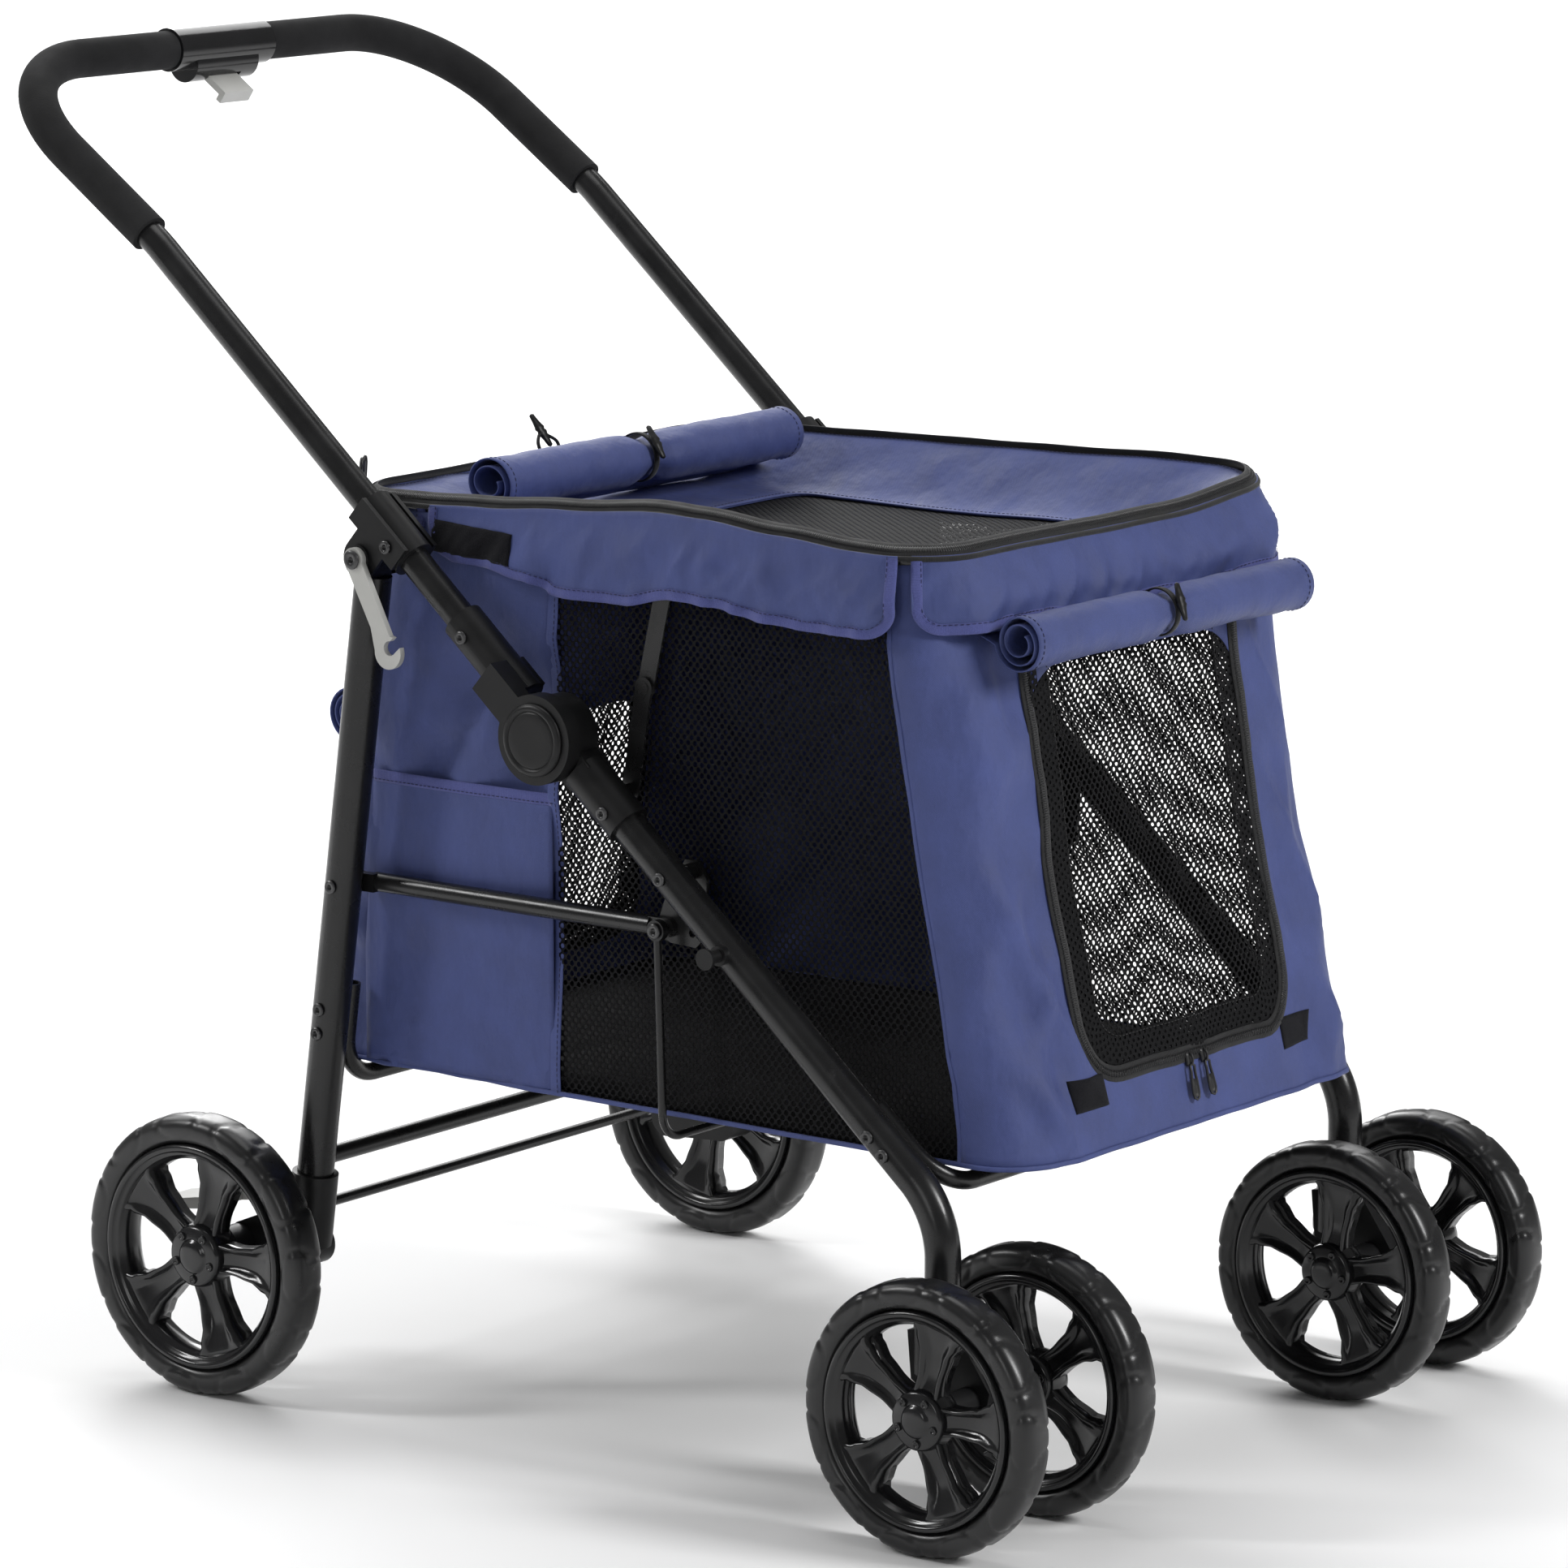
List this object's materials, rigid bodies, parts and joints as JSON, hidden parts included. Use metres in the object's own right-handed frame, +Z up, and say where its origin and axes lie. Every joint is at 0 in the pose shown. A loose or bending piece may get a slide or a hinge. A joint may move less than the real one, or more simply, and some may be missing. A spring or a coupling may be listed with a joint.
{
  "type": "pet stroller",
  "caption": "Folding pet stroller: tubular steel frame on twin swivel casters and rear wheels, zipped fabric cabin with mesh windows, bent push handle.",
  "frame": {"origin": "on the ground, under the centre of the bounding box", "axes": "+Z up; +Y towards the person who pushes, so the front faces -Y; +X to the stroller's own left"},
  "size_m": [0.65, 1.0182, 0.9671],
  "materials": {
    "steel": "satin black powder coat",
    "plastic": "satin black moulded nylon",
    "cap": "glossy black",
    "fabric": "slate-blue woven polyester",
    "mesh": "black knitted mesh",
    "board": "fabric-covered stiff board",
    "slider": "glossy black",
    "foam": "soft dark grey foam",
    "grey": "light grey moulded",
    "zinc": "dark plated steel",
    "tyre": "satin black foam rubber",
    "rim": "glossy black moulded"
  },
  "bodies": {
    "chassis": {"front_leg_right": "steel", "front_leg_left": "steel", "hub_lower": "plastic", "front_u_tube": "steel", "link_plates": "steel", "caster_collars": "plastic", "hook_pin": "plastic", "front_rivets": "zinc", "cabin_shell": "fabric", "floor_board": "board", "side_mesh": "mesh", "side_pockets": "fabric", "floor_wire": "steel", "front_roll": "fabric", "front_toggle": "plastic", "rear_roll": "fabric"},
    "front_door": {"front_door": "mesh"},
    "rear_door": {"rear_door": "mesh"},
    "slider_right": {"front_slider_right": "slider"},
    "slider_left": {"front_slider_left": "slider"},
    "rim": {"rim_frame": "steel", "valance": "fabric"},
    "lid": {"lid_border": "fabric", "lid_mesh": "mesh", "lid_roll": "fabric", "lid_toggle": "plastic"},
    "brace_lower": {"brace_lower": "steel"},
    "brace_upper": {"brace_upper": "steel"},
    "side_bars": {"side_bars": "steel"},
    "handle": {"handle_tube": "steel", "foam_grips": "foam", "handle_pod": "plastic", "hub_upper": "plastic", "hub_caps": "cap", "hub_pivots": "zinc", "leg_brackets": "plastic", "handle_rivets": "zinc"},
    "trigger": {"fold_trigger": "grey"},
    "lock_hook": {"lock_hook": "grey"},
    "rear_frame": {"rear_legs": "steel", "rear_u_tube": "steel", "rear_cross_tube": "steel", "axle_housings": "plastic", "rear_rivets": "zinc"},
    "brake": {"brake_rod": "steel", "brake_pedals": "grey"},
    "caster_right": {"caster_right": "plastic"},
    "caster_left": {"caster_left": "plastic"},
    "wheel_front_right_outer": {"tyre_front_right_outer": "tyre", "rim_front_right_outer": "rim"},
    "wheel_front_right_inner": {"tyre_front_right_inner": "tyre", "rim_front_right_inner": "rim"},
    "wheel_front_left_outer": {"tyre_front_left_outer": "tyre", "rim_front_left_outer": "rim"},
    "wheel_front_left_inner": {"tyre_front_left_inner": "tyre", "rim_front_left_inner": "rim"},
    "wheel_rear_right": {"tyre_rear_right": "tyre", "rim_rear_right": "rim"},
    "wheel_rear_left": {"tyre_rear_left": "tyre", "rim_rear_left": "rim"}
  },
  "joints": [
    {"name": "fold", "type": "hinge", "parent": "chassis", "child": "handle", "pos_m": [0, -0.045, 0.5115], "axis": [-1, 0, 0], "range_deg": [0, 110]},
    {"name": "rear_leg_fold", "type": "hinge", "parent": "handle", "child": "rear_frame", "pos_m": [0, 0.12018, 0.62329], "axis": [-1, 0, 0], "range_deg": [-75.1, 0]},
    {"name": "side_bar_swing", "type": "hinge", "parent": "chassis", "child": "side_bars", "pos_m": [0, -0.127, 0.381], "axis": [-1, 0, 0], "range_deg": [0, 86.2]},
    {"name": "rim_drop", "type": "slide", "parent": "chassis", "child": "rim", "axis": [0, 0, -1], "range_m": [0, 0.12], "deforming": ["cabin_shell", "side_mesh", "side_pockets", "front_roll", "front_toggle", "rear_roll", "front_door", "rear_door", "valance"]},
    {"name": "brace_lower_swing", "type": "hinge", "parent": "chassis", "child": "brace_lower", "pos_m": [0, -0.08877, 0.47345], "axis": [-1, 0, 0], "range_deg": [0, 73.3]},
    {"name": "brace_upper_swing", "type": "hinge", "parent": "rim", "child": "brace_upper", "pos_m": [0, -0.125, 0.65], "axis": [-1, 0, 0], "range_deg": [-64.2, 0]},
    {"name": "lid_open", "type": "hinge", "parent": "rim", "child": "lid", "pos_m": [0, 0.178, 0.6595], "axis": [-1, 0, 0], "range_deg": [0, 105]},
    {"name": "front_door_open", "type": "hinge", "parent": "chassis", "child": "front_door", "pos_m": [0, -0.36484, 0.56075], "axis": [-1, 0, 0], "range_deg": [0, 60]},
    {"name": "rear_door_open", "type": "hinge", "parent": "chassis", "child": "rear_door", "pos_m": [0, 0.20367, 0.43889], "axis": [1, 0, 0], "range_deg": [0, 80]},
    {"name": "front_slider_right_slide", "type": "slide", "parent": "chassis", "child": "slider_right", "axis": [-1, 0, 0], "range_m": [0, 0.07]},
    {"name": "front_slider_left_slide", "type": "slide", "parent": "chassis", "child": "slider_left", "axis": [1, 0, 0], "range_m": [0, 0.07]},
    {"name": "trigger_squeeze", "type": "hinge", "parent": "handle", "child": "trigger", "pos_m": [0, 0.49642, 0.93482], "axis": [-1, 0, 0], "range_deg": [0, 7], "stiffness_Nm_per_rad": 2},
    {"name": "lock_hook_swing", "type": "hinge", "parent": "handle", "child": "lock_hook", "pos_m": [-0.27, 0.12018, 0.62329], "axis": [-1, 0, 0], "range_deg": [-30, 35]},
    {"name": "brake_press", "type": "hinge", "parent": "rear_frame", "child": "brake", "pos_m": [0, 0.20926, 0.13], "axis": [-1, 0, 0], "range_deg": [0, 12]},
    {"name": "caster_right_swivel", "type": "hinge", "parent": "chassis", "child": "caster_right", "pos_m": [-0.247, -0.382, 0.13], "axis": [0, 0, 1], "continuous": true},
    {"name": "caster_left_swivel", "type": "hinge", "parent": "chassis", "child": "caster_left", "pos_m": [0.247, -0.382, 0.13], "axis": [0, 0, 1], "continuous": true},
    {"name": "wheel_front_right_outer_spin", "type": "hinge", "parent": "caster_right", "child": "wheel_front_right_outer", "pos_m": [-0.309, -0.414, 0.095], "axis": [1, 0, 0], "continuous": true},
    {"name": "wheel_front_right_inner_spin", "type": "hinge", "parent": "caster_right", "child": "wheel_front_right_inner", "pos_m": [-0.185, -0.414, 0.095], "axis": [1, 0, 0], "continuous": true},
    {"name": "wheel_front_left_outer_spin", "type": "hinge", "parent": "caster_left", "child": "wheel_front_left_outer", "pos_m": [0.309, -0.414, 0.095], "axis": [1, 0, 0], "continuous": true},
    {"name": "wheel_front_left_inner_spin", "type": "hinge", "parent": "caster_left", "child": "wheel_front_left_inner", "pos_m": [0.185, -0.414, 0.095], "axis": [1, 0, 0], "continuous": true},
    {"name": "wheel_rear_right_spin", "type": "hinge", "parent": "rear_frame", "child": "wheel_rear_right", "pos_m": [-0.3, 0.248, 0.104], "axis": [1, 0, 0], "continuous": true},
    {"name": "wheel_rear_left_spin", "type": "hinge", "parent": "rear_frame", "child": "wheel_rear_left", "pos_m": [0.3, 0.248, 0.104], "axis": [1, 0, 0], "continuous": true}
  ],
  "couplings": [
    {"joint": "rear_leg_fold", "follows": "fold", "ratio": -0.6815},
    {"joint": "side_bar_swing", "follows": "fold", "ratio": 0.7811},
    {"joint": "rim_drop", "follows": "fold", "m_per_rad": 0.0625},
    {"joint": "brace_lower_swing", "follows": "fold", "ratio": 0.6653},
    {"joint": "brace_upper_swing", "follows": "fold", "ratio": -0.5818}
  ]
}
